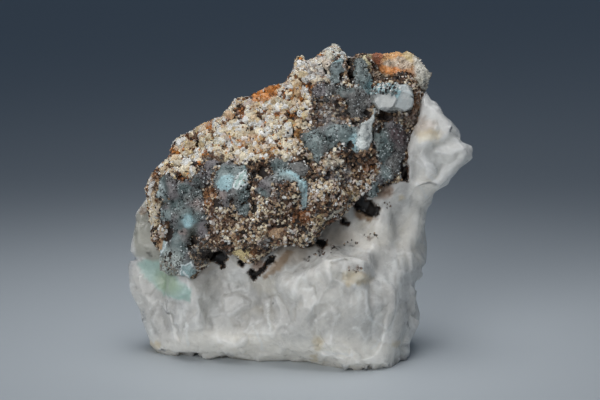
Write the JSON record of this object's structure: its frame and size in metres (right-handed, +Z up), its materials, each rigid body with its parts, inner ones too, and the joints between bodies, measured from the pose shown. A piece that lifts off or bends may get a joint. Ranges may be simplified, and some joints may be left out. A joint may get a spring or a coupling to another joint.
{
  "type": "hemimorphite specimen",
  "caption": "Natural mineral specimen: blue hemimorphite skins on a cream and brown crust of fine crystals, seated on a lump of milky quartz that stands on its flat broken base.",
  "frame": {"origin": "middle of the flat base, under the middle of the bounding box", "axes": "+Z up, +X to the right along the longest side, +Y away from the viewer of the crusted face"},
  "size_m": [0.0874, 0.0504, 0.0764],
  "materials": {
    "milky_quartz": "milky, broken with a glassy to waxy shine",
    "druse_crust": "rough, granular and pitted",
    "blue_hemimorphite": "botryoidal skin of fine sparkling crystals",
    "iron_stained_quartz": "broken, banded with rust",
    "white_quartz": "glassy crystal faces"
  },
  "bodies": {
    "root": {"quartz_matrix": "milky_quartz", "druse_crust": "druse_crust", "hemimorphite_left": "blue_hemimorphite", "hemimorphite_bright": "blue_hemimorphite", "hemimorphite_fan": "blue_hemimorphite", "hemimorphite_centre": "blue_hemimorphite", "hemimorphite_top": "blue_hemimorphite", "hemimorphite_right": "blue_hemimorphite", "iron_vein": "iron_stained_quartz", "quartz_knob": "white_quartz"}
  },
  "joints": []
}
